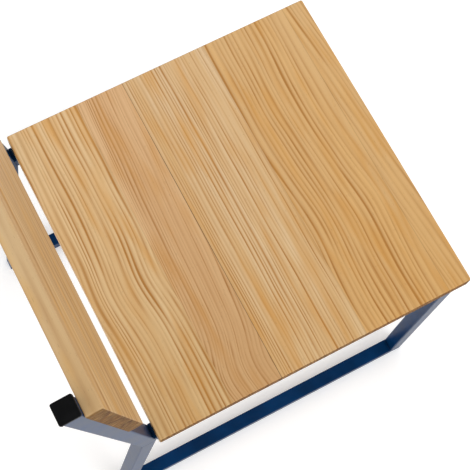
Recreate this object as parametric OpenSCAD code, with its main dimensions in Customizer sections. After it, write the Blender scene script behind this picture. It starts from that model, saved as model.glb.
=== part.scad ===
// Armless side chair: an edge-glued pine seat and back board on a welded frame of
// square steel tube. Each side of the frame is a closed loop of runner, front leg,
// seat rail and rear leg, and an upright leans back from the top of the rear leg.
// Millimetres. The chair faces -Y, +X is the sitter's left and +Z is up. The origin
// is on the floor, under the centre of the bounding box.

/* [Seat] */
// Width of the seat board, along its grain
seat_w = 430; // [360:1:520]
// Depth of the seat board, front to rear
seat_d = 430; // [360:1:520]
// Thickness of the seat board
seat_t = 20; // [15:1:30]
// Height of the seat's top above the floor
seat_h = 450; // [360:1:560]
// Width left of the stave at the seat's front edge
front_stave = 31; // [15:1:60]
// Width of the darker stave, next but one to the rear edge
amber_stave = 66; // [40:1:80]
// Width of the stave at the seat's rear edge
rear_stave = 98; // [60:1:110]

/* [Backrest] */
// Height of the back board, measured along the uprights
back_h = 216; // [150:1:300]
// Thickness of the back board
back_t = 18; // [14:1:25]
// Length by which each end of the back board passes the upright's outer face
back_overhang = 2.5; // [0:0.5:15]
// Length of upright left showing above the back board
back_drop = 13; // [5:1:60]
// Chamfer that eases the edges of both boards
board_ease = 1; // [0.3:0.1:3]

/* [Frame] */
// Outer size of the square tube
tube = 20; // [16:1:30]
// Wall of the square tube
wall = 1.5; // [1:0.1:2.5]
// Outer corner radius of the tube
tube_r = 2; // [1:0.1:3]
// Distance from the seat's side edge in to the frame's outer face
frame_inset = 7.5; // [0:0.5:30]
// Length of the uprights above the seat rail's underside
upright_len = 432; // [360:1:560]
// Angle at which the uprights lean back, in degrees
back_lean = 9.5; // [0:0.5:15]
// Angle at which the rear legs rake back, in degrees
rear_rake = 6; // [0:0.5:12]
// Gap between the seat's rear edge and the uprights, at the seat rail's underside
back_gap = 0.5; // [0.5:0.5:10]
// Distance from the seat's rear edge forward to the rear cross rail
rear_rail_set = 15; // [5:1:60]
// Leg length of a fillet weld in the frame's inner corners
bead = 3; // [1.5:0.5:5]

/* [Caps] */
// Thickness of an end cap's head
cap_head = 4; // [1.5:0.5:6]
// Distance that an end cap's head passes the tube on every side
cap_over = 1; // [0:0.5:2]
// Depth of an end cap's plug inside the tube
cap_plug = 12; // [6:1:25]
// Clearance round an end cap's plug
cap_gap = 0.1; // [0.05:0.05:0.5]

/* [Screws] */
// Shank diameter of the wood screws
screw_d = 4; // [3:0.5:5]
// Head diameter of the wood screws
screw_head_d = 8; // [6:0.5:10]
// Head height of the wood screws
screw_head_h = 2.5; // [1.5:0.5:4]
// Clearance round a screw's shank
screw_gap = 0.1; // [0.05:0.05:0.4]
// Depth that a seat screw enters the seat board
seat_bite = 14; // [8:1:14]
// Depth that a back screw enters the back board
back_bite = 12; // [6:1:12]
// Distance from the seat's front and rear edges to the end screws
seat_screw_edge = 60; // [30:1:70]
// Distance from the back board's top and bottom edges to its screws
back_screw_edge = 38; // [20:1:45]

/* [Hidden] */
$fn = 48;

// Numbers for the sides: the sitter's right is at -X
right = -1;
left = 1;

// Length added to cutting shapes, so that they pass right through
over = 1;

// Frame sizes worked out from the seat
frame_w = seat_w - 2 * frame_inset;
side_x = (frame_w - tube) / 2;
half = tube / 2;
rail_z = seat_h - seat_t - half;
rail_under = rail_z - half;

// Corners of a side loop on the tubes' centre lines, as [distance behind the seat's
// rear edge, height]. The upright and the rear leg meet at the knee.
knee = [half + back_gap, rail_under];
front_top = [half - seat_d, rail_z];
front_foot = [half - seat_d, half];
rear_foot = [knee[0] + (knee[1] - half) * tan(rear_rake), half];

// Directions in the side plane
forward = [-1, 0];
rearward = [1, 0];
upward = [0, 1];
downward = [0, -1];
up_the_back = [sin(back_lean), cos(back_lean)];
down_the_leg = [sin(rear_rake), -cos(rear_rake)];

// How far the uprights' end caps reach behind the seat, and the shift that centres
// the bounding box on the origin
back_reach = knee[0] + (upright_len + cap_head) * sin(back_lean) + (half + cap_over) * cos(back_lean);
foot_reach = rear_foot[0] + half * tan(rear_rake) + half / cos(rear_rake);
shift_y = (seat_d - max(back_reach, foot_reach)) / 2;

// Glue joints of the seat board, front to rear, with two equal staves in the middle
middle_joint = (front_stave - seat_d - amber_stave - rear_stave) / 2;
seat_joints = [-seat_d, front_stave - seat_d, middle_joint,
               -amber_stave - rear_stave, -rear_stave, 0];

// Back board of three equal staves, along the uprights from the knee
back_top = upright_len - back_drop;
back_w = frame_w + 2 * back_overhang;
back_joints = [-back_h, -2 * back_h / 3, -back_h / 3, 0];
back_screw_z = [back_top - back_h + back_screw_edge, back_top - back_screw_edge];

// Seat screws, front to rear
seat_screw_y = [seat_screw_edge - seat_d, -seat_d / 2, -seat_screw_edge];

// Side of a block big enough to cut off the end of any tube
block = 8 * tube;

// ---- Shapes used by several sub-parts ----

module centred_on_floor() {
    translate([0, shift_y, 0]) children();
}

// Moves to the knee on one side and leans back, so that +Z runs up the upright
module on_upright(side) {
    translate([side * side_x, knee[0], knee[1]])
        rotate([-back_lean, 0, 0])
            children();
}

module rounded_square(size, r) {
    square([size - 2 * r, size], center = true);
    square([size, size - 2 * r], center = true);
    for (x = [-1, 1], y = [-1, 1])
        translate([x, y] * (size / 2 - r)) circle(r);
}

module tube_profile() {
    difference() {
        rounded_square(tube, tube_r);
        square(tube - 2 * wall, center = true);
    }
}

// Everything beyond a plane across the side view, through a point and facing away
module beyond(point, away) {
    translate([0, point[0], point[1]])
        rotate([-atan2(away[0], away[1]), 0, 0])
            translate([-block / 2, -block / 2, 0]) cube(block);
}

// The part of a mitred corner that belongs to the tube running along other
module beyond_mitre(corner, own, other) {
    beyond(corner, other - own);
}

// Square tube in the side plane from one corner to the next, long at both ends
module side_tube(from, to) {
    run = to - from;
    translate([0, from[0], from[1]])
        rotate([-atan2(run[0], run[1]), 0, 0])
            translate([0, 0, -tube])
                linear_extrude(norm(run) + 2 * tube) tube_profile();
}

// Board lying flat with its rear edge at y = 0 and its underside at z = 0
module eased_profile(w, t) {
    e = board_ease;
    polygon([[e, 0], [w - e, 0], [w, e], [w, t - e], [w - e, t], [e, t], [0, t - e], [0, e]]);
}

module eased_board(w, d, t) {
    intersection() {
        translate([-w / 2, 0, 0]) rotate([90, 0, 0])
            linear_extrude(d) eased_profile(w, t);
        translate([w / 2, -d, 0]) rotate([90, 0, -90])
            mirror([1, 0, 0]) linear_extrude(w) eased_profile(d, t);
    }
}

// One stave of a board, numbered from the front or lower edge
module stave(number, joints, w, d, t) {
    width = joints[number] - joints[number - 1];
    intersection() {
        eased_board(w, d, t);
        translate([-w, joints[number - 1], -over]) cube([2 * w, width, t + 2 * over]);
    }
}

module screw(length) {
    cylinder(d = screw_d, h = length);
    translate([0, 0, -screw_head_h]) cylinder(d = screw_head_d, h = screw_head_h);
}

module screw_hole(length) {
    translate([0, 0, -over]) cylinder(d = screw_d + 2 * screw_gap, h = length + 2 * over);
}

module at_seat_screws(sides) {
    for (side = sides, y = seat_screw_y)
        translate([side * side_x, y, rail_under]) children();
}

module at_back_screws(sides) {
    for (side = sides, z = back_screw_z)
        on_upright(side) translate([0, half, z]) rotate([90, 0, 0]) children();
}

// ---- Boards ----

module seat_stave(number, tone = "burlywood") {
    color(tone) centred_on_floor() difference() {
        translate([0, 0, seat_h - seat_t]) stave(number, seat_joints, seat_w, seat_d, seat_t);
        at_seat_screws([right, left]) screw_hole(tube + seat_bite);
    }
}

module back_stave(number) {
    color("burlywood") centred_on_floor() difference() {
        translate([0, knee[0], knee[1]]) rotate([-back_lean, 0, 0])
            translate([0, -half, back_top]) rotate([90, 0, 0])
                stave(number, back_joints, back_w, back_h, back_t);
        at_back_screws([right, left]) screw_hole(tube + back_bite);
    }
}

// ---- Frame ----

module runner(side) {
    color("midnightblue") centred_on_floor() translate([side * side_x, 0, 0]) difference() {
        side_tube(front_foot, rear_foot);
        beyond_mitre(front_foot, rearward, upward);
        beyond_mitre(rear_foot, forward, -down_the_leg);
    }
}

module front_leg(side) {
    color("midnightblue") centred_on_floor() translate([side * side_x, 0, 0]) difference() {
        side_tube(front_foot, front_top);
        beyond_mitre(front_foot, upward, rearward);
        beyond_mitre(front_top, downward, rearward);
    }
}

// The seat rail is mitred to the front leg and butts against the upright
module seat_rail(side) {
    color("midnightblue") centred_on_floor() difference() {
        translate([side * side_x, 0, 0]) difference() {
            side_tube(front_top, [knee[0], rail_z]);
            beyond_mitre(front_top, rearward, downward);
            beyond(knee - half * [up_the_back[1], -up_the_back[0]], [up_the_back[1], -up_the_back[0]]);
            beyond(knee + half * [down_the_leg[1], -down_the_leg[0]], [-down_the_leg[1], down_the_leg[0]]);
        }
        at_seat_screws([side]) screw_hole(tube);
    }
}

module rear_leg(side) {
    color("midnightblue") centred_on_floor() translate([side * side_x, 0, 0]) difference() {
        side_tube(rear_foot, knee);
        beyond_mitre(rear_foot, -down_the_leg, forward);
        beyond_mitre(knee, down_the_leg, up_the_back);
    }
}

module upright(side) {
    color("midnightblue") centred_on_floor() difference() {
        translate([side * side_x, 0, 0]) difference() {
            side_tube(knee, knee + upright_len * up_the_back);
            beyond_mitre(knee, up_the_back, down_the_leg);
            beyond(knee + upright_len * up_the_back, up_the_back);
        }
        at_back_screws([side]) screw_hole(tube);
    }
}

// Cross rail between the two seat rails, with its front face at y
module cross_rail(y) {
    color("midnightblue") centred_on_floor()
        translate([tube / 2 - side_x, y + half, rail_z]) rotate([0, 90, 0])
            linear_extrude(2 * side_x - tube) tube_profile();
}

module front_cross_rail() {
    cross_rail(-seat_d);
}

module rear_cross_rail() {
    cross_rail(-rear_rail_set - tube);
}

// Fillet weld as long as the tube's flat, in the inner corner between two directions
module side_bead(corner, one, other) {
    translate([-(half - tube_r), corner[0], corner[1]]) rotate([90, 0, 90])
        linear_extrude(tube - 2 * tube_r) polygon([[0, 0], bead * one, bead * other]);
}

module rail_bead(side, y, along) {
    translate([side * (side_x - half), y, rail_z - half + tube_r])
        linear_extrude(tube - 2 * tube_r) polygon([[0, 0], [-side * bead, 0], [0, along * bead]]);
}

module weld_beads() {
    leg_front = knee[0] - half / cos(rear_rake);
    color("midnightblue") centred_on_floor() for (side = [right, left]) {
        translate([side * side_x, 0, 0]) {
            side_bead([tube - seat_d, tube], rearward, upward);
            side_bead([tube - seat_d, rail_under], rearward, downward);
            side_bead([leg_front + (rail_under - tube) * tan(rear_rake), tube], forward, -down_the_leg);
            side_bead([leg_front, rail_under], forward, down_the_leg);
        }
        rail_bead(side, tube - seat_d, 1);
        rail_bead(side, -rear_rail_set, 1);
        rail_bead(side, -rear_rail_set - tube, -1);
    }
}

// ---- Caps and screws ----

module end_cap(side) {
    color("black") centred_on_floor() on_upright(side) translate([0, 0, upright_len]) {
        linear_extrude(cap_head) rounded_square(tube + 2 * cap_over, tube_r);
        translate([0, 0, -cap_plug])
            linear_extrude(cap_plug) square(tube - 2 * wall - 2 * cap_gap, center = true);
    }
}

module seat_screws() {
    color("silver") centred_on_floor() at_seat_screws([right, left]) screw(tube + seat_bite);
}

module back_screws() {
    color("silver") centred_on_floor() at_back_screws([right, left]) screw(tube + back_bite);
}

seat_stave(1);  // seat_stave_1
seat_stave(2);  // seat_stave_2
seat_stave(3);  // seat_stave_3
seat_stave(4, "peru");  // seat_stave_4
seat_stave(5);  // seat_stave_5
back_stave(1);  // back_stave_1
back_stave(2);  // back_stave_2
back_stave(3);  // back_stave_3
runner(right);  // right_runner
runner(left);  // left_runner
front_leg(right);  // right_front_leg
front_leg(left);  // left_front_leg
seat_rail(right);  // right_seat_rail
seat_rail(left);  // left_seat_rail
rear_leg(right);  // right_rear_leg
rear_leg(left);  // left_rear_leg
upright(right);  // right_upright
upright(left);  // left_upright
front_cross_rail();
rear_cross_rail();
end_cap(right);  // right_end_cap
end_cap(left);  // left_end_cap
weld_beads();
seat_screws();
back_screws();
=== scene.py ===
"""Looks of an armless side chair: pine seat and back board on a navy square-tube frame.

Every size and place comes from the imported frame, in metres. The chair faces -Y, +X is
the sitter's left and +Z is up.
"""

import logging
import math
from dataclasses import dataclass, field
from enum import Enum

import bmesh
import bpy
from mathutils import Euler, Matrix, Vector


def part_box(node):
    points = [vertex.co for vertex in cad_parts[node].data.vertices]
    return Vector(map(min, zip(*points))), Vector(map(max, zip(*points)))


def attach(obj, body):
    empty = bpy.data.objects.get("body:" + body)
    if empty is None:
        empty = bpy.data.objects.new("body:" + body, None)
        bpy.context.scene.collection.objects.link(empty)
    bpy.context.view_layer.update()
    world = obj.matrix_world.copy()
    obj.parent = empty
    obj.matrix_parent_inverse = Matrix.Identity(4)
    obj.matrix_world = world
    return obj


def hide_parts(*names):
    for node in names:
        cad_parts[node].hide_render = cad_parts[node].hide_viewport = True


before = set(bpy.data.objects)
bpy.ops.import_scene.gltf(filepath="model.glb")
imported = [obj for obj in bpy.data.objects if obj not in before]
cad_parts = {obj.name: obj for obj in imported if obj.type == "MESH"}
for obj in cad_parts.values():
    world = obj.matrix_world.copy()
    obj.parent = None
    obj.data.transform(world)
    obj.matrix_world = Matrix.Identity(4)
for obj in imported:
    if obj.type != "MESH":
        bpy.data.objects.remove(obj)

log = logging.getLogger("chair")

MM = 0.001
# Places nearer than this are the same place, in metres
TINY = 1e-6


class Slot(str, Enum):
    """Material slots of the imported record."""

    PINE_LIGHT = "pine_light"
    PINE_AMBER = "pine_amber"
    POWDER_COAT = "navy_powder_coat"
    PLASTIC = "black_plastic"
    ZINC = "zinc_plate"


class Side(int, Enum):
    """The sitter's right is at -X."""

    RIGHT = -1
    LEFT = 1

    @property
    def word(self) -> str:
        """The side's name as the nodes use it."""
        return self.name.lower()


# ---- Colour and shader helpers ----


def linear(code: str) -> tuple[float, float, float, float]:
    """Turns an sRGB hex colour into linear RGBA.

    Args:
        code: Six hex digits, with or without a leading hash.

    Returns:
        Red, green, blue and an alpha of 1.
    """
    digits = code.lstrip("#")
    channels = [int(digits[i : i + 2], 16) / 255 for i in (0, 2, 4)]
    red, green, blue = (c / 12.92 if c <= 0.04045 else ((c + 0.055) / 1.055) ** 2.4 for c in channels)
    return (red, green, blue, 1.0)


def add(tree: bpy.types.NodeTree, kind: str, settings: dict | None = None,
        **inputs: object) -> bpy.types.Node:
    """Adds a shader node, sets its properties and fills or links its inputs.

    Args:
        tree: The material's node tree.
        kind: The node's type, without the ShaderNode prefix.
        settings: Properties of the node.
        inputs: Input name, with _ for a space, or i and an index. A socket is linked, another
            value is set.

    Returns:
        The new node.
    """
    made = tree.nodes.new("ShaderNode" + kind)
    for name, value in (settings or {}).items():
        setattr(made, name, value)
    for name, value in inputs.items():
        is_index = name[0] == "i" and name[1:].isdigit()
        socket = made.inputs[int(name[1:])] if is_index else made.inputs[name.replace("_", " ")]
        if isinstance(value, bpy.types.NodeSocket):
            tree.links.new(value, socket)
        else:
            socket.default_value = value
    return made


def maths(tree: bpy.types.NodeTree, operation: str, *values: object) -> bpy.types.NodeSocket:
    """Adds a Math node.

    Args:
        tree: The material's node tree.
        operation: The Math node's operation.
        values: Numbers or sockets, in order.

    Returns:
        The node's output socket.
    """
    filled = {f"i{k}": value for k, value in enumerate(values)}
    return add(tree, "Math", {"operation": operation}, **filled).outputs[0]


def ramp(tree: bpy.types.NodeTree, fac: bpy.types.NodeSocket,
         stops: list[tuple[float, str | float]]) -> bpy.types.NodeSocket:
    """Adds a colour ramp.

    Args:
        tree: The material's node tree.
        fac: What the ramp reads.
        stops: Positions, each with an sRGB hex colour or a linear grey, in order.

    Returns:
        The ramp's colour socket.
    """
    made = add(tree, "ValToRGB", None, Fac=fac)
    elements = made.color_ramp.elements
    while len(elements) < len(stops):
        elements.new(0.5)
    for element, (position, tone) in zip(elements, stops):
        element.position = position
        element.color = linear(tone) if isinstance(tone, str) else (tone, tone, tone, 1.0)
    return made.outputs["Color"]


def blank_material(name: str) -> tuple[bpy.types.Material, bpy.types.NodeTree, bpy.types.Node]:
    """Makes a material that holds one principled shader.

    Args:
        name: The material's name.

    Returns:
        The material, its tree and its principled shader.
    """
    material = bpy.data.materials.new(name)
    material.use_nodes = True
    tree = material.node_tree
    tree.nodes.clear()
    shader = add(tree, "BsdfPrincipled")
    add(tree, "OutputMaterial", None, Surface=shader.outputs["BSDF"])
    return material, tree, shader


# ---- Finishes ----


class Pattern(Enum):
    """Uneven patterns in pine.

    Each holds the length of a feature along, across and through the stave in metres, a
    seed of its own, and its octaves of finer noise.
    """

    WANDER = ((150 * MM, 60 * MM, 60 * MM), 1.0, 1.0)
    FADING = ((140 * MM, 12 * MM, 30 * MM), 3.0, 2.0)
    DRIFT = ((300 * MM, 14 * MM, 20 * MM), 5.0, 2.0)
    RESIN = ((90 * MM, 12 * MM, 20 * MM), 7.0, 1.0)
    # Fibres are drawn 0.4 mm across, about ten times coarser than real, so that they show
    FIBRE = ((25 * MM, 0.4 * MM, 0.4 * MM), 11.0, 3.0)
    RESIN_CANAL = ((6 * MM, 0.5 * MM, 0.5 * MM), 13.0, 0.0)
    GLUE_JOINT = ((200 * MM, 50 * MM, 50 * MM), 17.0, 0.0)
    END_STREAK = ((50 * MM, 2 * MM, 9 * MM), 19.0, 3.0)


@dataclass(frozen=True)
class Bend:
    """A place where the pith, and so every growth ring, bends aside and back.

    Lengths are in metres: x is where it lies along the grain, width how long it is, and
    across how far it goes.
    """

    x: float
    width: float
    across: float


@dataclass(frozen=True)
class Pine:
    """Flat-sawn pine under a clear satin lacquer: one stave's growth rings.

    Rings lie round a pith that runs almost along the grain, so the same field gives long
    lines on the faces, waves where the pith bends aside and arcs on the end grain.
    Lengths are in metres, in the stave's own axes: x along the grain, y across, z through.
    The pith is given as its distances across and through, and its slope as metres across
    for each metre along.
    """

    seed: float
    ring: float
    pith: tuple[float, float]
    slope: float = 0.0
    wander: float = 4 * MM
    bends: tuple[Bend, ...] = ()
    early: str = "#E0C090"
    middle: str = "#D5AD77"
    late: str = "#B07A3B"
    warm: str = "#CF964A"
    line_depth: float = 1.0
    # Slope of a painted light and sheen gradient, per metre, lighter towards the sitter's left
    painted_light_slope: float = 0.12
    glue_lines: tuple[float, float] = (0.5, 0.5)
    glue_core: float = 0.3 * MM
    glue_reach: float = 0.9 * MM
    satin: float = 0.48
    end_dullness: float = 0.42
    specular: float = 0.25
    relief: float = 0.1 * MM

    def coordinates(self, tree: bpy.types.NodeTree, at: Vector, turn: Euler) -> bpy.types.NodeSocket:
        """Gives the stave's own axes, from the piece's Object coordinates.

        Args:
            tree: The material's node tree.
            at: The stave's centre.
            turn: How the stave is turned.

        Returns:
            A vector socket in metres.
        """
        here = add(tree, "TexCoord").outputs["Object"]
        mapping = add(tree, "Mapping", {"vector_type": "TEXTURE"}, Vector=here, Location=at,
                      Rotation=turn)
        return mapping.outputs["Vector"]

    def noise(self, tree: bpy.types.NodeTree, where: bpy.types.NodeSocket,
              pattern: Pattern) -> bpy.types.NodeSocket:
        """Adds noise whose features have a real size along each axis.

        Args:
            tree: The material's node tree.
            where: The coordinates it reads.
            pattern: Which pattern it draws.

        Returns:
            The noise's factor socket.
        """
        size, offset, detail = pattern.value
        stretch = add(tree, "Mapping", None, Vector=where, Scale=tuple(1 / s for s in size))
        made = add(tree, "TexNoise", {"noise_dimensions": "4D"}, Vector=stretch.outputs["Vector"],
                   W=self.seed + offset, Scale=1.0, Detail=detail, Roughness=0.55)
        return made.outputs["Fac"]

    def mask(self, tree: bpy.types.NodeTree, value: bpy.types.NodeSocket, low: float, high: float,
             strength: float = 1.0) -> bpy.types.NodeSocket:
        """Maps a range of a value to 0 up to a strength.

        Args:
            tree: The material's node tree.
            value: What to map.
            low: Value that gives 0.
            high: Value that gives the strength.
            strength: The most that comes out.

        Returns:
            The mapped socket.
        """
        return add(tree, "MapRange", None, Value=value, i1=low, i2=high, i3=0.0, i4=strength).outputs[0]

    def rings(self, tree: bpy.types.NodeTree, where: bpy.types.NodeSocket) -> bpy.types.NodeSocket:
        """Counts growth rings outwards from the pith.

        Args:
            tree: The material's node tree.
            where: The stave's own coordinates.

        Returns:
            A socket with the ring number, as a continuous value.
        """
        axes = add(tree, "SeparateXYZ", None, Vector=where)
        x, y, z = (axes.outputs[k] for k in ("X", "Y", "Z"))
        wave = self.noise(tree, where, Pattern.WANDER)
        across = maths(tree, "MULTIPLY_ADD", maths(tree, "SUBTRACT", wave, 0.5), 2 * self.wander, y)
        across = maths(tree, "MULTIPLY_ADD", x, -self.slope, across)
        across = maths(tree, "SUBTRACT", across, self.pith[0])
        depth = maths(tree, "SUBTRACT", z, self.pith[1])
        for bend in self.bends:
            reach = maths(tree, "DIVIDE", maths(tree, "SUBTRACT", x, bend.x), bend.width)
            squared = maths(tree, "MULTIPLY", reach, reach)
            bell = maths(tree, "EXPONENT", maths(tree, "MULTIPLY", squared, -1.0))
            across = maths(tree, "MULTIPLY_ADD", bell, -bend.across, across)
        radius = maths(tree, "SQRT", maths(tree, "ADD", maths(tree, "MULTIPLY", across, across),
                                           maths(tree, "MULTIPLY", depth, depth)))
        count = maths(tree, "DIVIDE", radius, self.ring)
        # Good and bad years: ring widths drift over about three rings, by up to 1.7 rings
        slowly = maths(tree, "MULTIPLY_ADD", count, 0.33, self.seed)
        years = add(tree, "TexNoise", {"noise_dimensions": "1D"}, W=slowly, Scale=1.0, Detail=1.0)
        return maths(tree, "MULTIPLY_ADD", years.outputs["Fac"], 1.7, count)

    def late_wood(self, tree: bpy.types.NodeTree, where: bpy.types.NodeSocket) -> bpy.types.NodeSocket:
        """Gives how far each spot is dark latewood.

        Args:
            tree: The material's node tree.
            where: The stave's own coordinates.

        Returns:
            A socket from 0 in earlywood to 1 in the darkest latewood.
        """
        count = self.rings(tree, where)
        # Latewood darkens slowly outwards and stops sharply at the next spring
        one_year = [(0.0, 0.5), (0.12, 0.05), (0.35, 0.08), (0.62, 0.4), (0.84, 1.0), (1.0, 0.5)]
        profile = ramp(tree, maths(tree, "FRACT", count), one_year)
        # Some years are dark and some faint, and each line fades in and out along the board
        strong = add(tree, "TexWhiteNoise", {"noise_dimensions": "1D"},
                     W=maths(tree, "ADD", maths(tree, "FLOOR", count), self.seed)).outputs["Value"]
        strong = maths(tree, "MULTIPLY_ADD", strong, 0.75, 0.25)
        fading = self.mask(tree, self.noise(tree, where, Pattern.FADING), 0.22, 0.72, 1.6)
        line = maths(tree, "MULTIPLY", maths(tree, "MULTIPLY", profile, strong), fading)
        line = maths(tree, "MULTIPLY", line, 1.3 * self.line_depth)
        return add(tree, "Clamp", None, Value=line).outputs[0]

    def glue(self, tree: bpy.types.NodeTree, where: bpy.types.NodeSocket,
             half_width: float) -> bpy.types.NodeSocket:
        """Draws the glue joints: thin dark lines at the stave's edges, stronger here than there.

        Args:
            tree: The material's node tree.
            where: The stave's own coordinates.
            half_width: Half the stave's width across the grain.

        Returns:
            A socket from 0 to the joint's darkness.
        """
        across = add(tree, "SeparateXYZ", None, Vector=where).outputs["Y"]
        uneven = maths(tree, "ADD", self.noise(tree, where, Pattern.GLUE_JOINT), 0.3)
        dark = None
        for side, strength in zip((-1, 1), self.glue_lines):
            edge = maths(tree, "MULTIPLY_ADD", across, -side, half_width)
            line = self.mask(tree, edge, self.glue_reach, self.glue_core, strength)
            dark = line if dark is None else maths(tree, "MAXIMUM", dark, line)
        return maths(tree, "MULTIPLY", dark, uneven)

    def material(self, name: str, at: Vector, turn: Euler, half_width: float) -> bpy.types.Material:
        """Builds the stave's material.

        Args:
            name: The material's name.
            at: The stave's centre.
            turn: How the stave is turned.
            half_width: Half the stave's width across the grain.

        Returns:
            The material.
        """
        material, tree, shader = blank_material(name)
        where = self.coordinates(tree, at, turn)
        line = self.late_wood(tree, where)
        drift = self.mask(tree, self.noise(tree, where, Pattern.DRIFT), 0.3, 0.7)
        ground = add(tree, "Mix", {"data_type": "RGBA"}, i0=drift,
                     i6=linear(self.early), i7=linear(self.middle)).outputs[2]
        grown = add(tree, "Mix", {"data_type": "RGBA"}, i0=line,
                    i6=ground, i7=linear(self.late)).outputs[2]

        # Resin-rich patches warm the wood in long soft streaks
        patch = self.mask(tree, self.noise(tree, where, Pattern.RESIN), 0.5, 0.75, 0.6)
        warmed = add(tree, "Mix", {"data_type": "RGBA"}, i0=patch,
                     i6=grown, i7=linear(self.warm)).outputs[2]

        # Fine fibres, and short dark resin canals
        fibre = self.noise(tree, where, Pattern.FIBRE)
        pore = self.mask(tree, self.noise(tree, where, Pattern.RESIN_CANAL), 0.72, 0.8, 0.3)
        shade = maths(tree, "SUBTRACT", maths(tree, "MULTIPLY_ADD", fibre, 0.18, 0.91), pore)
        shade = maths(tree, "SUBTRACT", shade, self.glue(tree, where, half_width))
        # Painted light and sheen: the boards are drawn lighter and paler towards the sitter's left, losing
        # yellow fastest
        along = add(tree, "SeparateXYZ", None, Vector=where).outputs["X"]
        red, green, blue = (
            maths(tree, "MULTIPLY", shade, maths(tree, "MULTIPLY_ADD", along, self.painted_light_slope + extra, 1.0))
            for extra in (0.0, 0.12, 0.45))
        even = add(tree, "CombineColor", None, Red=red, Green=green, Blue=blue).outputs[0]
        faced = add(tree, "Mix", {"data_type": "RGBA", "blend_type": "MULTIPLY"}, i0=1.0,
                    i6=warmed, i7=even).outputs[2]

        # End grain soaks up lacquer and reads darker and browner, from the eased arris inwards
        facing = add(tree, "NewGeometry").outputs["Normal"]
        end = maths(tree, "ABSOLUTE", add(tree, "SeparateXYZ", None, Vector=facing).outputs["X"])
        end = self.mask(tree, end, 0.35, 0.85, 1.0)
        streak = self.noise(tree, where, Pattern.END_STREAK)
        soaked = ramp(tree, streak, [(0.38, "#74644B"), (0.5, "#98886B"), (0.62, "#BFAF92")])
        ended = add(tree, "Mix", {"data_type": "RGBA", "blend_type": "MULTIPLY"}, i0=end,
                    i6=faced, i7=soaked).outputs[2]
        tree.links.new(ended, shader.inputs["Base Color"])

        # Satin lacquer: the hard latewood stays a little proud and glossier than the rest
        gloss = maths(tree, "MULTIPLY_ADD", line, -0.08, self.satin)
        dulled = maths(tree, "MULTIPLY_ADD", end, self.end_dullness, gloss)
        tree.links.new(dulled, shader.inputs["Roughness"])
        shader.inputs["Specular IOR Level"].default_value = self.specular
        height = maths(tree, "MULTIPLY_ADD", line, 0.5, maths(tree, "MULTIPLY", fibre, 0.3))
        bump = add(tree, "Bump", None, Height=height, Strength=0.3, Distance=self.relief)
        tree.links.new(bump.outputs["Normal"], shader.inputs["Normal"])
        return material


@dataclass(frozen=True)
class PowderCoat:
    """Navy polyester powder coat baked on mild steel: smooth semi-gloss with faint orange peel."""

    navy: str = "#00315D"
    deep: str = "#00284E"
    roughness: float = 0.34
    index: float = 1.2
    film: float = 40 * MM
    peel: float = 1.6 * MM
    peel_depth: float = 0.1 * MM

    def material(self, name: str) -> bpy.types.Material:
        """Builds the finish.

        Args:
            name: The material's name.

        Returns:
            The material.
        """
        material, tree, shader = blank_material(name)
        here = add(tree, "TexCoord").outputs["Object"]
        # Film thickness drifts over a few centimetres and shifts the depth of the blue
        drift = add(tree, "TexNoise", None, Vector=here, Scale=1 / self.film, Detail=2.0).outputs["Fac"]
        colour = ramp(tree, drift, [(0.35, self.deep), (0.65, self.navy)])
        tree.links.new(colour, shader.inputs["Base Color"])
        # Orange peel: soft cells a millimetre or two across, about 0.01 mm high
        peel = add(tree, "TexNoise", None, Vector=here, Scale=1 / self.peel, Detail=1.0,
                   Roughness=0.4).outputs["Fac"]
        bump = add(tree, "Bump", None, Height=peel, Strength=0.12, Distance=self.peel_depth)
        tree.links.new(bump.outputs["Normal"], shader.inputs["Normal"])
        gloss = maths(tree, "MULTIPLY_ADD", drift, 0.08, self.roughness - 0.04)
        tree.links.new(gloss, shader.inputs["Roughness"])
        # A low index keeps flat faces deep blue while upright faces still pick up the floor
        shader.inputs["IOR"].default_value = self.index
        return material


@dataclass(frozen=True)
class MouldedPlastic:
    """Injection-moulded black polyethylene: spark-eroded matt grain that greys the highlights."""

    body: str = "#0F0F11"
    worn: str = "#151517"
    grain: float = 0.35 * MM
    grain_depth: float = 0.06 * MM
    cloud: float = 9 * MM
    roughness: float = 0.6
    index: float = 1.35

    def material(self, name: str) -> bpy.types.Material:
        """Builds the finish.

        Args:
            name: The material's name.

        Returns:
            The material.
        """
        material, tree, shader = blank_material(name)
        here = add(tree, "TexCoord").outputs["Object"]
        grain = add(tree, "TexNoise", None, Vector=here, Scale=1 / self.grain, Detail=2.0).outputs["Fac"]
        cloud = add(tree, "TexNoise", None, Vector=here, Scale=1 / self.cloud, Detail=3.0).outputs["Fac"]
        colour = ramp(tree, cloud, [(0.4, self.body), (0.75, self.worn)])
        tree.links.new(colour, shader.inputs["Base Color"])
        bump = add(tree, "Bump", None, Height=grain, Strength=0.35, Distance=self.grain_depth)
        tree.links.new(bump.outputs["Normal"], shader.inputs["Normal"])
        shader.inputs["Roughness"].default_value = self.roughness
        shader.inputs["IOR"].default_value = self.index
        return material


@dataclass(frozen=True)
class ZincPlate:
    """Bright zinc plating on a wood screw: soft grey metal, a little blotchy."""

    light: str = "#C9CBCE"
    dull: str = "#A7A9AC"
    blotch: float = 2 * MM

    def material(self, name: str) -> bpy.types.Material:
        """Builds the finish.

        Args:
            name: The material's name.

        Returns:
            The material.
        """
        material, tree, shader = blank_material(name)
        here = add(tree, "TexCoord").outputs["Object"]
        blotch = add(tree, "TexNoise", None, Vector=here, Scale=1 / self.blotch, Detail=4.0).outputs["Fac"]
        colour = ramp(tree, blotch, [(0.35, self.dull), (0.65, self.light)])
        tree.links.new(colour, shader.inputs["Base Color"])
        rough = maths(tree, "MULTIPLY_ADD", blotch, 0.2, 0.25)
        tree.links.new(rough, shader.inputs["Roughness"])
        shader.inputs["Metallic"].default_value = 1.0
        return material


# ---- Mesh helpers ----


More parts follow.
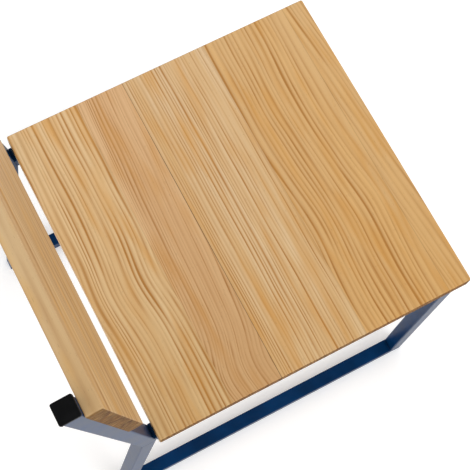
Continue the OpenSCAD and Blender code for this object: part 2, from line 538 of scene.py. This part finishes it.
def finished(bm: bmesh.types.BMesh, name: str, material: bpy.types.Material, slot: Slot, *nodes: str,
             smooth: float = 35.0) -> bpy.types.Object:
    """Turns a bmesh into a piece that rides on the chair.

    Args:
        bm: The shape, in place. It is freed.
        name: The piece's name.
        material: Its finish.
        slot: The record's material slot; not used.
        nodes: CAD nodes that the piece stands for.
        smooth: Edges sharper than this stay crisp, in degrees.

    Returns:
        The new object.
    """
    bmesh.ops.recalc_face_normals(bm, faces=bm.faces)
    mesh = bpy.data.meshes.new(name)
    bm.to_mesh(mesh)
    bm.free()
    mesh.polygons.foreach_set("use_smooth", [True] * len(mesh.polygons))
    mesh.set_sharp_from_angle(angle=math.radians(smooth))
    mesh.materials.append(material)
    piece = bpy.data.objects.new(name, mesh)
    bpy.context.scene.collection.objects.link(piece)
    weighted = piece.modifiers.new("even_faces", "WEIGHTED_NORMAL")
    weighted.keep_sharp = True
    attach(piece, "root")
    if nodes:
        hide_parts(*nodes)
    log.info("%s: %d faces, stands for %s", name, len(mesh.polygons), ", ".join(nodes) or "nothing")
    return piece


def block(size: Vector, centre: Vector) -> bmesh.types.BMesh:
    """Starts a bmesh from a box.

    Args:
        size: Its lengths along X, Y and Z.
        centre: Its centre.

    Returns:
        The new bmesh.
    """
    bm = bmesh.new()
    bmesh.ops.create_cube(bm, size=1.0)
    bmesh.ops.scale(bm, vec=size, verts=bm.verts)
    bmesh.ops.translate(bm, vec=centre, verts=bm.verts)
    return bm


def round_edges(bm: bmesh.types.BMesh, edges: list[bmesh.types.BMEdge], radius: float,
                segments: int) -> None:
    """Bevels edges to a round.

    Args:
        bm: The shape.
        edges: The edges to round.
        radius: Radius of the round.
        segments: Faces across the round.
    """
    bmesh.ops.bevel(bm, geom=edges, offset=radius, offset_type="OFFSET", affect="EDGES",
                    segments=segments, profile=0.5, material=-1, clamp_overlap=True)


def edges_along(bm: bmesh.types.BMesh, axis: int) -> list[bmesh.types.BMEdge]:
    """Finds the straight edges that run along one axis.

    Args:
        bm: The shape.
        axis: 0, 1 or 2 for X, Y or Z.

    Returns:
        Those edges.
    """
    nearly_parallel = 0.999
    found = []
    for edge in bm.edges:
        run = (edge.verts[1].co - edge.verts[0].co).normalized()
        if abs(run[axis]) > nearly_parallel:
            found.append(edge)
    return found


def lies_at(edge: bmesh.types.BMEdge, axis: int, place: float) -> bool:
    """Says whether both ends of an edge are at one place along an axis.

    Args:
        edge: The edge.
        axis: 0, 1 or 2 for X, Y or Z.
        place: The place, in metres.

    Returns:
        True where they are.
    """
    return all(abs(vert.co[axis] - place) < TINY for vert in edge.verts)


# ---- Sizes read from the frame ----


@dataclass(frozen=True)
class ChairSizes:
    """The few sizes that the frame's boxes don't give by themselves, in metres and degrees."""

    tube: float = 20 * MM
    tube_corner: float = 2 * MM
    cut_ease: float = 0.35 * MM
    back_lean: float = 9.5
    rear_rake: float = 6.0
    back_gap: float = 0.5 * MM
    board_ease: float = 1.2 * MM
    board_corner: float = 2.5 * MM
    bead: float = 3 * MM
    cap_head: float = 4 * MM
    cap_over: float = 1 * MM

    @property
    def side_x(self) -> float:
        """Distance of a side frame's middle from the chair's middle."""
        low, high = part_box("left_runner")
        return (low.x + high.x) / 2

    @property
    def seat_rear(self) -> float:
        """Y of the seat's rear edge."""
        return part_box("seat_stave_5")[1].y

    @property
    def knee(self) -> Vector:
        """Where an upright meets its rear leg, at X = 0."""
        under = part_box("left_seat_rail")[0].z
        return Vector((0, self.seat_rear + self.tube / 2 + self.back_gap, under))

    @property
    def up_the_back(self) -> Vector:
        """Direction of the uprights."""
        lean = math.radians(self.back_lean)
        return Vector((0, math.sin(lean), math.cos(lean)))

    @property
    def down_the_leg(self) -> Vector:
        """Direction of the rear legs, from the knee to the floor."""
        rake = math.radians(self.rear_rake)
        return Vector((0, math.sin(rake), -math.cos(rake)))

    @property
    def upright_length(self) -> float:
        """Length of an upright from the knee to its end cap."""
        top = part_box("left_upright")[1].z - self.knee.z
        lean = math.radians(self.back_lean)
        return (top - self.tube / 2 * math.sin(lean)) / math.cos(lean)


# ---- Boards ----


@dataclass
class Board:
    """Staves glued edge to edge, with eased outer edges and soft corners.

    Args:
        name: First part of its nodes' names.
        stave_pines: The pine of each stave, in the order of the nodes.
        slots: The material slot of each stave.
        turn: How the board is turned from lying flat, about X.
        sizes: The chair's sizes.
    """

    name: str
    stave_pines: list[Pine]
    slots: list[Slot]
    turn: Euler
    sizes: ChairSizes

    def stave_box(self, node: str) -> tuple[Vector, Vector]:
        """Gives a stave's centre and its size in its own axes.

        Args:
            node: The CAD node.

        Returns:
            The centre, and lengths along, across and through the stave.
        """
        turned = self.turn.to_matrix()
        points = [turned.inverted() @ v.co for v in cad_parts[node].data.vertices]
        low = Vector(min(p[k] for p in points) for k in range(3))
        high = Vector(max(p[k] for p in points) for k in range(3))
        return turned @ ((low + high) / 2), high - low

    def build(self) -> list[bpy.types.Object]:
        """Builds every stave.

        Returns:
            The staves' objects.
        """
        return [self.stave(k) for k in range(len(self.stave_pines))]

    def stave(self, index: int) -> bpy.types.Object:
        """Builds one stave; its edges are eased, but not along a glue joint.

        Args:
            index: Its place in the board, from 0.

        Returns:
            The stave's object.
        """
        node = f"{self.name}_stave_{index + 1}"
        centre, size = self.stave_box(node)
        bm = block(size, Vector())
        first, last = index == 0, index == len(self.stave_pines) - 1
        ends = [side for side, is_end in ((-1, first), (1, last)) if is_end]
        joints = [side for side in (-1, 1) if side not in ends]
        half_y, half_z = size.y / 2, size.z / 2
        corners = [edge for edge in edges_along(bm, 2)
                   if any(lies_at(edge, 1, side * half_y) for side in ends)]
        if corners:
            round_edges(bm, corners, self.sizes.board_corner, 4)
        rim = [edge for edge in bm.edges
               if any(lies_at(edge, 2, side * half_z) for side in (-1, 1))
               and not any(lies_at(edge, 1, side * half_y) for side in joints)]
        round_edges(bm, rim, self.sizes.board_ease, 3)
        placed = Matrix.Translation(centre) @ self.turn.to_matrix().to_4x4()
        bmesh.ops.transform(bm, matrix=placed, verts=bm.verts)
        pine = self.stave_pines[index]
        finish = pine.material(f"lacquered_pine_{node}", centre, self.turn, size.y / 2)
        return finished(bm, f"{node}_board", finish, self.slots[index], node)


# ---- Frame ----


@dataclass
class SteelFrame:
    """Welded frame of square tube: two side loops, two uprights and two cross rails.

    Each weld bead is a corner and the directions of the two faces that meet in it.
    """

    sizes: ChairSizes
    finish: bpy.types.Material
    beads: list[tuple[Vector, Vector, Vector]] = field(default_factory=list)
    bead_drops: int = 11
    bead_margin: float = 1.6 * MM
    bead_out: float = 0.35 * MM
    drop_size: float = 0.62
    drop_length: float = 0.55

    def tube(self, name: str, start: Vector, end: Vector,
             cuts: list[tuple[Vector, Vector]]) -> bpy.types.Object:
        """Builds one tube, cut to its mitres.

        Args:
            name: The CAD node that it stands for.
            start: One end of its centre line.
            end: The other end.
            cuts: Points and directions; what lies beyond each is cut off.

        Returns:
            The tube's object.
        """
        t = self.sizes.tube
        run = end - start
        bm = block(Vector((t, t, run.length + 2 * t)), Vector())
        round_edges(bm, edges_along(bm, 2), self.sizes.tube_corner, 5)
        # The tube's own X stays level, so that its faces stay square to the chair
        along = run.normalized()
        level = Vector((1, 0, 0)) if abs(along.x) < 0.5 else Vector((0, 1, 0))
        facing = along.cross(level).normalized()
        level = facing.cross(along)
        turned = Matrix((level, facing, along)).transposed().to_4x4()
        placed = Matrix.Translation((start + end) / 2) @ turned
        bmesh.ops.transform(bm, matrix=placed, verts=bm.verts)
        for point, away in cuts:
            everything = bm.verts[:] + bm.edges[:] + bm.faces[:]
            cut = bmesh.ops.bisect_plane(bm, geom=everything, plane_co=point, plane_no=away,
                                         clear_outer=True)
            rim = [g for g in cut["geom_cut"] if isinstance(g, bmesh.types.BMEdge)]
            filled = bmesh.ops.edgeloop_fill(bm, edges=rim)
            # A hair of chamfer round the cut, which shows as the dressed weld line
            round_edges(bm, list(filled["faces"][0].edges), self.sizes.cut_ease, 1)
        return finished(bm, f"{name}_tube", self.finish, Slot.POWDER_COAT, name)

    @staticmethod
    def mitre(corner: Vector, own: Vector, other: Vector) -> tuple[Vector, Vector]:
        """Gives the cut that mitres a tube where it meets another.

        Args:
            corner: Where the two centre lines meet.
            own: Direction of this tube, away from the corner.
            other: Direction of the other tube, away from the corner.

        Returns:
            A point of the cut and the direction of what goes.
        """
        return corner, (other - own).normalized()

    def side(self, side: Side) -> None:
        """Builds one side loop and its upright.

        Args:
            side: Which side.
        """
        s = self.sizes
        half = s.tube / 2
        out = Vector((side.value * s.side_x, 0, 0))
        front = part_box(f"{side.word}_front_leg")[0].y + half
        rail_z = s.knee.z + half
        knee = s.knee + out
        front_top = Vector((out.x, front, rail_z))
        front_foot = Vector((out.x, front, half))
        rear_y = knee.y + (knee.z - half) * math.tan(math.radians(s.rear_rake))
        rear_foot = Vector((out.x, rear_y, half))
        up, down = Vector((0, 0, 1)), Vector((0, 0, -1))
        rearward, forward = Vector((0, 1, 0)), Vector((0, -1, 0))
        back, leg = s.up_the_back, s.down_the_leg
        top = knee + back * s.upright_length
        back_face = Vector((0, back.z, -back.y))
        leg_face = Vector((0, -leg.z, leg.y))
        word = side.word
        self.tube(f"{word}_runner", front_foot, rear_foot,
                  [self.mitre(front_foot, rearward, up), self.mitre(rear_foot, forward, -leg)])
        self.tube(f"{word}_front_leg", front_foot, front_top,
                  [self.mitre(front_foot, up, rearward), self.mitre(front_top, down, rearward)])
        self.tube(f"{word}_seat_rail", front_top, Vector((out.x, knee.y, rail_z)),
                  [self.mitre(front_top, rearward, down), (knee - back_face * half, back_face)])
        self.tube(f"{word}_rear_leg", rear_foot, knee,
                  [self.mitre(rear_foot, -leg, forward), self.mitre(knee, leg, back)])
        self.tube(f"{word}_upright", knee, top, [self.mitre(knee, back, leg), (top, back)])

        leg_front = knee - leg_face * half
        inner_foot = leg_front + leg * ((leg_front.z - s.tube) / -leg.z)
        self.beads.extend([
            (Vector((out.x, front + half, s.tube)), rearward, up),
            (Vector((out.x, front + half, rail_z - half)), rearward, down),
            (Vector((out.x, inner_foot.y, s.tube)), forward, -leg),
            (Vector((out.x, leg_front.y, rail_z - half)), forward, leg),
        ])

    def cross_rail(self, node: str) -> None:
        """Builds a cross rail between the side loops.

        Args:
            node: Its CAD node.
        """
        low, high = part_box(node)
        middle = (low + high) / 2
        start = Vector((low.x, middle.y, middle.z))
        end = Vector((high.x, middle.y, middle.z))
        right, left = Vector((-1, 0, 0)), Vector((1, 0, 0))
        self.tube(node, start, end, [(start, right), (end, left)])
        for x, inward in ((low.x, left), (high.x, right)):
            if node == "rear_cross_rail":
                self.beads.append((Vector((x, low.y, middle.z)), inward, Vector((0, -1, 0))))
            self.beads.append((Vector((x, high.y, middle.z)), inward, Vector((0, 1, 0))))

    def weld_beads(self) -> None:
        """Lays a rippled fillet weld in each inner corner, as a row of overlapping drops."""
        s = self.sizes
        bm = bmesh.new()
        length = s.tube - 2 * s.tube_corner - self.bead_margin
        for corner, one, other in self.beads:
            along = one.cross(other).normalized()
            inward = (one + other).normalized()
            turned = Matrix((along, inward, along.cross(inward))).transposed().to_4x4()
            squash = Matrix.Diagonal((self.drop_length, 1.0, 1.0, 1.0))
            for k in range(self.bead_drops):
                offset = (k / (self.bead_drops - 1) - 0.5) * length
                place = corner + along * offset + inward * self.bead_out
                bmesh.ops.create_uvsphere(bm, u_segments=12, v_segments=8,
                                          radius=self.drop_size * s.bead,
                                          matrix=Matrix.Translation(place) @ turned @ squash)
        finished(bm, "weld_bead_ripples", self.finish, Slot.POWDER_COAT, "weld_beads", smooth=60.0)

    def build(self) -> None:
        """Builds the whole frame."""
        for side in Side:
            self.side(side)
        self.cross_rail("front_cross_rail")
        self.cross_rail("rear_cross_rail")
        self.weld_beads()


# ---- Caps and screws ----


@dataclass
class EndCap:
    """Square plug cap on top of an upright; plug_gap is both tube walls and the clearance."""

    side: Side
    sizes: ChairSizes
    finish: bpy.types.Material
    edge_round: float = 0.8 * MM
    plug_gap: float = 3.2 * MM
    plug_depth: float = 12 * MM

    def build(self) -> bpy.types.Object:
        """Builds the head, a little wider than the tube with rounded edges, and its plug.

        Returns:
            The cap's object.
        """
        s = self.sizes
        across = s.tube + 2 * s.cap_over
        bm = block(Vector((across, across, s.cap_head)), Vector((0, 0, s.cap_head / 2)))
        round_edges(bm, edges_along(bm, 2), s.tube_corner, 5)
        top = [face for face in bm.faces if face.normal.z > 0.9]
        round_edges(bm, list(top[0].edges), self.edge_round, 4)
        plug = bmesh.ops.create_cube(bm, size=1.0)
        width = s.tube - self.plug_gap
        bmesh.ops.scale(bm, vec=(width, width, self.plug_depth), verts=plug["verts"])
        bmesh.ops.translate(bm, vec=(0, 0, -self.plug_depth / 2), verts=plug["verts"])
        turned = Matrix.Rotation(-math.radians(s.back_lean), 4, "X")
        foot = s.knee + Vector((self.side.value * s.side_x, 0, 0)) + s.up_the_back * s.upright_length
        bmesh.ops.transform(bm, matrix=Matrix.Translation(foot) @ turned, verts=bm.verts)
        node = f"{self.side.word}_end_cap"
        return finished(bm, f"{node}_moulding", self.finish, Slot.PLASTIC, node)


@dataclass
class ScrewSet:
    """Pan-head wood screws with a cross recess, all of one node.

    The recess's arms and the dome are shares of the head's radius and height.
    """

    node: str
    into: Vector
    sizes: ChairSizes
    finish: bpy.types.Material
    head: float = 4 * MM
    height: float = 2.5 * MM
    shank: float = 2 * MM
    length: float = 30 * MM
    recess: float = 1.3 * MM
    arm_width: float = 0.2
    arm_length: float = 0.6
    dome: float = 0.45

    def places(self) -> list[Vector]:
        """Finds the centre of each head's underside.

        Returns:
            One point for each screw, where its head meets the tube.
        """
        source = bmesh.new()
        source.from_mesh(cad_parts[self.node].data)
        bmesh.ops.remove_doubles(source, verts=source.verts, dist=0.001 * MM)
        waiting = set(source.verts)
        found = []
        while waiting:
            island, edge = set(), [waiting.pop()]
            while edge:
                vert = edge.pop()
                island.add(vert)
                around = [e.other_vert(vert) for e in vert.link_edges]
                edge.extend(v for v in around if v not in island)
            waiting -= island
            low = min(v.co.dot(self.into) for v in island)
            ring = [v.co for v in island if v.co.dot(self.into) < low + 0.01 * MM]
            middle = sum(ring, Vector()) / len(ring)
            found.append(middle + self.into * self.height)
        source.free()
        return sorted(found, key=lambda place: [round(c, 5) for c in place])

    def add_screw(self, bm: bmesh.types.BMesh, place: Vector) -> None:
        """Adds one screw: a domed head with a sunk cross, and the shank behind it.

        Args:
            bm: The mesh that it joins.
            place: Centre of the head's underside.
        """
        part = bmesh.new()
        bmesh.ops.create_grid(part, x_segments=10, y_segments=10, size=1.0)
        arms = []
        for face in part.faces:
            near, far = sorted(abs(c) for c in face.calc_center_median().xy)
            if near < self.arm_width and far < self.arm_length:
                arms.append(face)
        # The square grid becomes a disc, each ring of it a circle
        for vert in part.verts:
            x, y = vert.co.xy
            flat = max(abs(x), abs(y))
            spread = math.hypot(x, y)
            if spread > 0:
                pull = 1 - flat + flat * flat / spread
                vert.co.xy = (x * pull, y * pull)
            vert.co.xy *= self.head
            radius = min(1.0, vert.co.xy.length / self.head)
            bulge = math.sqrt(max(0.0, 1 - radius * radius))
            vert.co.z = -self.height * (1 - self.dome + self.dome * bulge)
        sunk = bmesh.ops.extrude_face_region(part, geom=arms)
        moved = [g for g in sunk["geom"] if isinstance(g, bmesh.types.BMVert)]
        bmesh.ops.translate(part, vec=(0, 0, self.recess), verts=moved)
        bmesh.ops.delete(part, geom=arms, context="FACES")
        skirt = [edge for edge in part.edges if edge.is_boundary]
        rim = bmesh.ops.extrude_edge_only(part, edges=skirt)
        for vert in (g for g in rim["geom"] if isinstance(g, bmesh.types.BMVert)):
            vert.co.z = 0.0
        bmesh.ops.holes_fill(part, edges=[edge for edge in part.edges if edge.is_boundary], sides=0)
        bmesh.ops.create_cone(part, cap_ends=True, segments=20, radius1=self.shank,
                              radius2=self.shank, depth=self.length,
                              matrix=Matrix.Translation((0, 0, self.length / 2)))
        turned = self.into.to_track_quat("Z", "Y").to_matrix().to_4x4()
        bmesh.ops.transform(part, matrix=Matrix.Translation(place) @ turned, verts=part.verts)
        mesh = bpy.data.meshes.new("screw_blank")
        part.to_mesh(mesh)
        part.free()
        bm.from_mesh(mesh)
        bpy.data.meshes.remove(mesh)

    def build(self) -> bpy.types.Object:
        """Builds the set.

        Returns:
            The screws' object.
        """
        bm = bmesh.new()
        for place in self.places():
            self.add_screw(bm, place)
        return finished(bm, f"{self.node}_pan_head", self.finish, Slot.ZINC, self.node)


# ---- Studio ----


@dataclass(frozen=True)
class Studio:
    """White floor, even sky, one wide key light and the camera.

    Angles are in degrees, and the camera is aimed at a point beside the seat's middle.
    """

    azimuth: float = -119.9375
    elevation: float = 71.9462
    roll: float = 2.758
    distance: float = 1.5092
    aim: tuple[float, float] = (0.03063, 0.06165)
    lens: float = 92.56
    sensor: float = 36.0
    shift: tuple[float, float] = (0.1169, -0.0584)
    clip: tuple[float, float] = (0.05, 50.0)
    floor_size: float = 14.0
    paper: float = 0.9
    sky: float = 0.9
    key_from: tuple[float, float, float] = (-0.9, -0.35, 0.75)
    key_spread: float = 35.0
    key: float = 0.8
    floor_glow: float = 0.25

    def floor(self) -> None:
        """Lays the floor: matt white paper, faintly lit from within so that it stays pale."""
        bm = bmesh.new()
        bmesh.ops.create_grid(bm, x_segments=1, y_segments=1, size=self.floor_size / 2)
        mesh = bpy.data.meshes.new("studio_floor")
        bm.to_mesh(mesh)
        bm.free()
        material, _, shader = blank_material("white_background_paper")
        shader.inputs["Base Color"].default_value = (self.paper, self.paper, self.paper, 1.0)
        shader.inputs["Roughness"].default_value = 0.9
        shader.inputs["Emission Color"].default_value = (1.0, 1.0, 1.0, 1.0)
        shader.inputs["Emission Strength"].default_value = self.floor_glow
        mesh.materials.append(material)
        paper = bpy.data.objects.new("studio_floor", mesh)
        bpy.context.scene.collection.objects.link(paper)

    def key_light(self) -> None:
        """Adds a wide, even key light from the sitter's front right."""
        data = bpy.data.lights.new("key_light", "SUN")
        data.angle = math.radians(self.key_spread)
        data.energy = self.key
        key = bpy.data.objects.new("key_light", data)
        key.rotation_euler = Vector(self.key_from).to_track_quat("Z", "Y").to_euler()
        bpy.context.scene.collection.objects.link(key)

    def sky_light(self) -> None:
        """Fills the room with even white light."""
        world = bpy.data.worlds.new("studio_sky")
        world.use_nodes = True
        background = world.node_tree.nodes["Background"]
        background.inputs["Color"].default_value = (1.0, 1.0, 1.0, 1.0)
        background.inputs["Strength"].default_value = self.sky
        bpy.context.scene.world = world
        world.cycles_visibility.glossy = False

    def camera(self, seat_top: Vector) -> None:
        """Places the camera.

        Args:
            seat_top: Middle of the seat's top face.
        """
        a, e = math.radians(self.azimuth), math.radians(self.elevation)
        back = Vector((math.sin(a) * math.cos(e), -math.cos(a) * math.cos(e), math.sin(e)))
        data = bpy.data.cameras.new("camera")
        data.lens = self.lens
        data.sensor_width = self.sensor
        data.shift_x, data.shift_y = self.shift
        data.clip_start, data.clip_end = self.clip
        camera = bpy.data.objects.new("camera", data)
        camera.location = seat_top + Vector((*self.aim, 0)) + back * self.distance
        level = (-back).to_track_quat("-Z", "Y").to_matrix()
        camera.rotation_euler = (level @ Matrix.Rotation(math.radians(self.roll), 3, "Z")).to_euler()
        bpy.context.scene.collection.objects.link(camera)
        bpy.context.scene.camera = camera

    def build(self, seat_top: Vector) -> None:
        """Sets up floor, light and camera.

        Args:
            seat_top: Middle of the seat's top face.
        """
        self.floor()
        self.sky_light()
        self.key_light()
        self.camera(seat_top)
        bpy.context.scene.view_settings.view_transform = "Standard"


def main() -> None:
    """Builds the chair and its studio, in order."""
    logging.basicConfig(level=logging.INFO, format="%(name)s: %(message)s")
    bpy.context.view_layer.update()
    sizes = ChairSizes()
    low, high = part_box("seat_stave_1")[0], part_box("seat_stave_5")[1]
    seat_top = Vector(((low.x + high.x) / 2, (low.y + high.y) / 2, high.z))

    # Each stave's painted light slope draws it lighter and paler towards the sitter's left
    seat_pines = [
        Pine(seed=11.0, ring=5.5 * MM, pith=(-70 * MM, -30 * MM), slope=0.07, line_depth=0.8,
             early="#DBAF72", glue_lines=(0.0, 0.15)),
        Pine(seed=23.0, ring=5.6 * MM, pith=(-110 * MM, -50 * MM), wander=6 * MM, line_depth=1.1,
             early="#DBAF72", glue_lines=(0.15, 0.1),
             bends=(Bend(-75 * MM, 50 * MM, across=-5 * MM), Bend(85 * MM, 70 * MM, across=5 * MM))),
        Pine(seed=37.0, ring=4.2 * MM, pith=(-150 * MM, -30 * MM), wander=3 * MM, line_depth=0.9,
             early="#DFC298", painted_light_slope=0.16, glue_lines=(0.1, 0.0)),
        Pine(seed=41.0, ring=3.3 * MM, pith=(-80 * MM, -40 * MM), slope=-0.05, line_depth=0.75,
             bends=(Bend(-185 * MM, 40 * MM, across=11 * MM),), painted_light_slope=0.42,
             early="#D9B283", middle="#CEA271", late="#AC7840", warm="#C8914E", glue_lines=(0.9, 0.0)),
        Pine(seed=59.0, ring=5.4 * MM, pith=(-110 * MM, -40 * MM), wander=4 * MM, line_depth=0.95,
             bends=(Bend(-35 * MM, 45 * MM, across=6 * MM),), painted_light_slope=0.42, glue_lines=(0.2, 0.0)),
    ]
    seat_slots = [Slot.PINE_LIGHT, Slot.PINE_LIGHT, Slot.PINE_LIGHT, Slot.PINE_AMBER, Slot.PINE_LIGHT]
    back = {"early": "#D5B78B", "middle": "#C6A172", "late": "#A67440", "warm": "#CF9A48",
            "line_depth": 0.95}
    back_pines = [
        Pine(seed=71.0, ring=8.0 * MM, pith=(80 * MM, -120 * MM), glue_lines=(0.0, 0.2), **back),
        Pine(seed=83.0, ring=7.0 * MM, pith=(-90 * MM, -120 * MM), glue_lines=(0.2, 0.2), **back),
        Pine(seed=97.0, ring=9.0 * MM, pith=(70 * MM, -120 * MM), glue_lines=(0.2, 0.0), **back),
    ]
    flat = Euler((0.0, 0.0, 0.0))
    leaning = Euler((math.radians(90 - sizes.back_lean), 0.0, 0.0))
    Board("seat", seat_pines, seat_slots, flat, sizes).build()
    Board("back", back_pines, [Slot.PINE_LIGHT] * 3, leaning, sizes).build()

    SteelFrame(sizes, PowderCoat().material("navy_polyester_powder_coat")).build()
    plastic = MouldedPlastic().material("moulded_black_polyethylene")
    for side in Side:
        EndCap(side, sizes, plastic).build()
    zinc = ZincPlate().material("bright_zinc_plated_steel")
    ScrewSet("seat_screws", Vector((0, 0, 1)), sizes, zinc).build()
    towards_front = Vector((0, -sizes.up_the_back.z, sizes.up_the_back.y))
    ScrewSet("back_screws", towards_front, sizes, zinc).build()

    Studio().build(seat_top)


if __name__ == "__main__":
    main()
